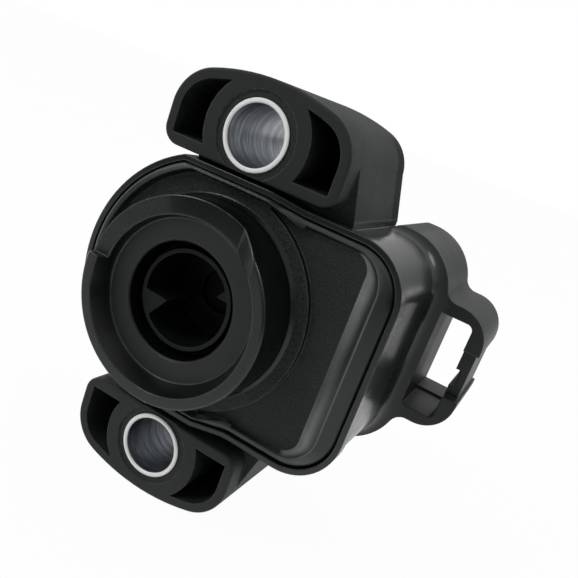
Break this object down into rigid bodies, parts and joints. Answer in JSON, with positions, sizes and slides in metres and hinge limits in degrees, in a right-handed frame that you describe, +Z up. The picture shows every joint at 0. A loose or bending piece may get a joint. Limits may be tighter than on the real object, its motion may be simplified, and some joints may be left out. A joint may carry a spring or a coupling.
{
  "type": "throttle position sensor",
  "caption": "Black plastic rotary sensor with a round pilot hub, a sprung drive cup, screw ears with metal sleeves and a plug shroud with a latch loop.",
  "frame": {"origin": "on the rotor's axis, in the plane of the ears' front faces", "axes": "+X to the connector's side, +Y from the hub to the back, +Z up along the line of the screws"},
  "size_m": [0.045, 0.0369, 0.05],
  "materials": {
    "body_plastic": "satin, fine moulded grain",
    "rotor_plastic": "smooth satin",
    "sleeve_steel": "turned, bright",
    "seal_rubber": "matt",
    "spring_steel": "rolled strip",
    "contact_brass": "pressed sheet",
    "board_ceramic": "matt"
  },
  "bodies": {
    "base": {"housing": "body_plastic", "front_cover": "body_plastic", "upper_sleeve": "sleeve_steel", "lower_sleeve": "sleeve_steel", "rotor_seal": "seal_rubber", "return_spring": "spring_steel", "element_board": "board_ceramic", "terminal_supply": "contact_brass", "terminal_signal": "contact_brass", "terminal_ground": "contact_brass"},
    "rotor": {"rotor": "rotor_plastic", "wiper_contact": "contact_brass"}
  },
  "joints": [
    {"name": "rotor_turn", "type": "hinge", "parent": "base", "child": "rotor", "pos_m": [0, 0, 0], "axis": [0, 1, 0], "range_deg": [0, 95], "stiffness_Nm_per_rad": 0.0042, "springref_deg": -108.86, "deforming": ["return_spring"]}
  ]
}
